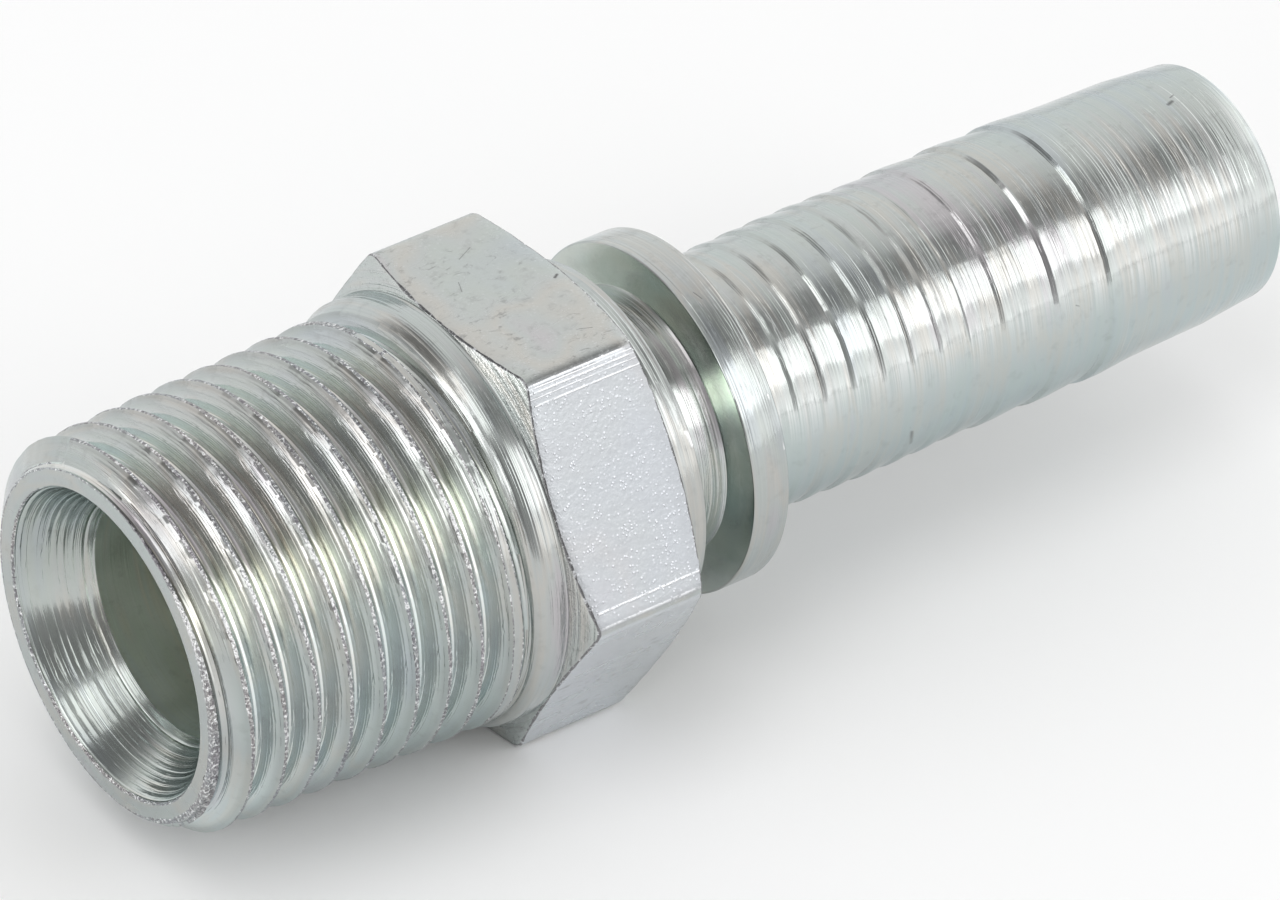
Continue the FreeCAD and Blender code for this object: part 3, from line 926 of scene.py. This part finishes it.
n = Nodes("groove_sides")
dull_finish_and_painted_shade = n.noise(n.co, 1800.0, 2.0, 0.5)
base = n.mix(n.remap(n.noise(n.co, 260.0, 2.0, 0.5), 0.35, 0.65, 0.0, 1.0), (0.450, 0.505, 0.478), (0.475, 0.500, 0.460))
# painted light and shade: the colour is raised 1.6 times, then made lighter at 88 to 98 degrees round the axis and
# darker elsewhere
lit = paint_light_by_angle(n, ((70, (0.76, 0.75, 0.75)), (82, (0.82, 0.80, 0.80)), (88, (1.28, 1.26, 1.20)), (98, (1.26, 1.25, 1.20)),
                  (106, (0.72, 0.72, 0.73)), (140, (0.72, 0.73, 0.74))))
base = n.mix(1.0, n.mix(1.0, base, (1.6, 1.6, 1.6), "MULTIPLY"), lit, "MULTIPLY")
finish(n, soiled(n, base, 0.12), n.remap(dull_finish_and_painted_shade, 0.3, 0.7, 0.20, 0.26), n.bump(dull_finish_and_painted_shade, 3e-6))
# painted light and shade: darker at 58 to 80 degrees round the axis, lighter at 85 to 98
turned_material("groove_floor", "turn", 0.8e-5, 0.17, 12, 1.0, 0.0, 0.05, 1.25, painted_light_tones=(
    (40, (0.76, 0.76, 0.75)), (58, (0.64, 0.64, 0.63)), (66, (0.54, 0.54, 0.53)), (80, (0.56, 0.56, 0.55)),
    (85, (0.98, 0.98, 0.97)), (98, (0.98, 0.98, 0.97)), (105, (0.86, 0.87, 0.87)), (140, (0.86, 0.88, 0.88))))

# broken edges of the hexagon: dark, ragged, with bright points
n = Nodes("hex_edges")
rip = n.noise(n.co, 4500.0, 2.0, 0.65)
base = n.mix(n.remap(rip, 0.57, 0.66, 0.0, 1.0), (0.22, 0.22, 0.225), (0.72, 0.73, 0.75))
finish(n, base, n.remap(rip, 0.3, 0.7, 0.20, 0.34), n.bump(rip, 2.6e-5))

# flanks that face the mouth; their colour carries painted light and shade by angle and in the valleys
turned_material("thread_flanks_front", "thread", 1.6e-5, 0.17, 14, 1.1, 0.0, 0.06, 1.30, painted_light_tones=(
    (25, (0.71, 0.70, 0.70)), (45, (0.70, 0.69, 0.68)), (54, (0.54, 0.53, 0.53)), (60, (0.50, 0.49, 0.50)),
    (65, (0.58, 0.57, 0.58)), (72, (0.80, 0.79, 0.80)), (78, (0.86, 0.85, 0.85)), (84, (0.82, 0.82, 0.80)), (92, (1.04, 1.04, 1.00)),
    (101, (1.03, 1.04, 1.01)), (106, (0.70, 0.72, 0.715)), (120, (0.66, 0.69, 0.69)), (136, (0.63, 0.66, 0.665)),
    (158, (0.80, 0.84, 0.84))),
    painted_valley_light_and_shade=((30, (0.76, 0.76, 0.76)), (46, (0.76, 0.75, 0.75)), (58, (0.68, 0.67, 0.67)), (66, (0.56, 0.55, 0.55)),
          (76, (0.61, 0.60, 0.60)), (84, (0.70, 0.69, 0.66)), (92, (0.90, 0.89, 0.85)), (100, (1.0, 0.98, 0.95)),
          (107, (0.94, 0.93, 0.93)), (120, (1.0, 0.98, 0.99)), (136, (0.82, 0.81, 0.82)), (158, (0.76, 0.75, 0.76))),
    turning_lines_and_painted_light=(0.52, ((50, 0.3), (60, 0.8), (80, 0.9), (102, 0.95), (106, 0.40), (130, 0.20))))

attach(body, "root")
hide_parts("hose_insert")

# ------------------------------------------------------------------ floor
FLOOR_Z = -0.011


def sheet_mesh(name, rows):
    me = bpy.data.meshes.new(name)
    v = [p for row in rows for p in row]
    w = len(rows[0])
    f = [(i * w + j, i * w + j + 1, (i + 1) * w + j + 1, (i + 1) * w + j)
         for i in range(len(rows) - 1) for j in range(w - 1)]
    me.from_pydata(v, [], f)
    me.update()
    ob = bpy.data.objects.new(name, me)
    bpy.context.scene.collection.objects.link(ob)
    return ob


g = np.linspace(-1.5, 1.5, 13)
floor = sheet_mesh("floor", [[(x, y, FLOOR_Z) for x in g] for y in g])
fm = bpy.data.materials.new("floor")
fm.use_nodes = True
fb = fm.node_tree.nodes["Principled BSDF"]
fb.inputs["Base Color"].default_value = (0.96, 0.96, 0.96, 1)
fb.inputs["Roughness"].default_value = 0.7
fb.inputs["Specular IOR Level"].default_value = 0.2
floor.data.materials.append(fm)


# ------------------------------------------------------------------ lights
def area(name, direction, distance, size_x, size_y, power, target=(0.028, 0, 0), along_x=None, shift=0.0):
    """Soft rectangular lamp; along_x is the direction of its size_x side."""
    d = np.array(direction, float)
    d /= np.linalg.norm(d)
    lamp = bpy.data.lights.new(name, "AREA")
    lamp.shape = "RECTANGLE"
    lamp.size, lamp.size_y = size_x, size_y
    lamp.energy = power
    ob = bpy.data.objects.new(name, lamp)
    z = d
    xa = np.cross((0, 0, 1), z) if along_x is None else np.array(along_x, float)
    xa = xa - z * float(xa @ z)
    xa /= np.linalg.norm(xa)
    ya = np.cross(z, xa)
    pos = np.array(target) + d * distance + xa * shift
    ob.matrix_world = Matrix((
        (xa[0], ya[0], z[0], pos[0]),
        (xa[1], ya[1], z[1], pos[1]),
        (xa[2], ya[2], z[2], pos[2]),
        (0, 0, 0, 1)))
    bpy.context.scene.collection.objects.link(ob)
    return ob


area("key", (0.42, -0.722, 0.565), 0.60, 0.395, 0.30, 0.57, shift=-0.0325)
area("low_strip", (0.46, -0.87, 0.181), 0.60, 0.46, 0.200, 0.128)
area("left_front", (-0.86, -0.37, 0.36), 0.60, 0.18, 0.24, 0.28)
area("left", (-0.90, 0.15, 0.36), 0.60, 0.26, 0.24, 0.40)
area("left_low", (-0.925, 0.36, 0.065), 0.30, 0.12, 0.060, 0.050)
area("top", (-0.37, -0.14, 0.90), 0.60, 0.37, 0.28, 0.46, along_x=(-0.1, -0.98, -0.15), shift=-0.035)

world = bpy.data.worlds.new("studio")
bpy.context.scene.world = world
world.use_nodes = True
wt = world.node_tree
wt.nodes.clear()
wo = wt.nodes.new("ShaderNodeOutputWorld")
bg = wt.nodes.new("ShaderNodeBackground")
wt.links.new(bg.outputs[0], wo.inputs[0])
tc = wt.nodes.new("ShaderNodeTexCoord")


def lobe(direction, stops):
    """Brightness of the studio against the cosine from a direction."""
    d = np.array(direction, float)
    dot = wt.nodes.new("ShaderNodeVectorMath")
    dot.operation = "DOT_PRODUCT"
    wt.links.new(tc.outputs["Generated"], dot.inputs[0])
    dot.inputs[1].default_value = d / np.linalg.norm(d)
    rmp = wt.nodes.new("ShaderNodeValToRGB")
    wt.links.new(dot.outputs["Value"], rmp.inputs[0])
    e = rmp.color_ramp.elements
    while len(e) > 1:
        e.remove(e[-1])
    e[0].position, e[0].color = stops[0][0], (*(stops[0][1],) * 3, 1)
    for p_, v_ in stops[1:]:
        q = e.new(p_)
        q.color = (v_, v_, v_, 1)
    return rmp.outputs[0]


over = lobe((0.50, -0.24, 0.83), [(0.45, 1.0), (0.755, 0.92), (0.899, 0.76), (0.950, 0.60), (0.980, 0.40), (1.0, 0.30)])
front = lobe((-0.55, -0.68, 0.42), [(0.50, 1.0), (0.80, 0.66), (0.93, 0.38)])
above = lobe((-0.38, 0.52, 0.77), [(0.82, 1.0), (0.91, 0.62), (0.96, 0.36), (0.985, 0.24)])


def times(a, b):
    m = wt.nodes.new("ShaderNodeMix")
    m.data_type = "RGBA"
    m.blend_type = "MULTIPLY"
    m.inputs[0].default_value = 1.0
    wt.links.new(a, m.inputs[6])
    wt.links.new(b, m.inputs[7])
    return m.outputs[2]


# the dim patch overhead ends where the side wall begins
sep = wt.nodes.new("ShaderNodeSeparateXYZ")
wt.links.new(tc.outputs["Generated"], sep.inputs[0])
gate = wt.nodes.new("ShaderNodeMapRange")
wt.links.new(sep.outputs["X"], gate.inputs[0])
for k_, v_ in enumerate((0.60, 0.70, 0.0, 1.0)):
    gate.inputs[1 + k_].default_value = v_
wall = wt.nodes.new("ShaderNodeMix")
wall.data_type = "RGBA"
wt.links.new(gate.outputs[0], wall.inputs[0])
wt.links.new(over, wall.inputs[6])
wall.inputs[7].default_value = (1.0, 1.0, 1.0, 1)
side = wt.nodes.new("ShaderNodeMapRange")
wt.links.new(sep.outputs["X"], side.inputs[0])
for k_, v_ in enumerate((0.70, 0.82, 1.08, 1.75)):
    side.inputs[1 + k_].default_value = v_
wt.links.new(times(times(wall.outputs[2], front), above), bg.inputs[0])
wt.links.new(side.outputs[0], bg.inputs[1])

# ------------------------------------------------------------------ camera
cam = bpy.data.cameras.new("camera")
cam.lens = 8253.08 * 36.0 / 1280.0
cam.sensor_width = 36.0
cam.clip_start, cam.clip_end = 0.02, 20.0
cam_ob = bpy.data.objects.new("camera", cam)
bpy.context.scene.collection.objects.link(cam_ob)
bpy.context.scene.camera = cam_ob
tilt = math.radians(46.68)
# rows: image right, image down and view direction, before the turn about X
R0 = np.array([[0.80416466, -0.38941352, 0.44908386],
               [-0.34181326, -0.92105658, -0.18659710],
               [0.48629507, -0.00344802, -0.87378785]])
TX = np.array([[1, 0, 0], [0, math.cos(tilt), -math.sin(tilt)], [0, math.sin(tilt), math.cos(tilt)]])
R1 = R0 @ TX.T
pos = TX @ np.array([-164.337, 0.0, 350.006]) * 0.001
right, down, ahead = R1
cam_ob.matrix_world = Matrix((
    (right[0], -down[0], -ahead[0], pos[0]),
    (right[1], -down[1], -ahead[1], pos[1]),
    (right[2], -down[2], -ahead[2], pos[2]),
    (0, 0, 0, 1)))

bpy.context.scene.view_settings.view_transform = "Standard"
bpy.context.scene.view_settings.look = "None"
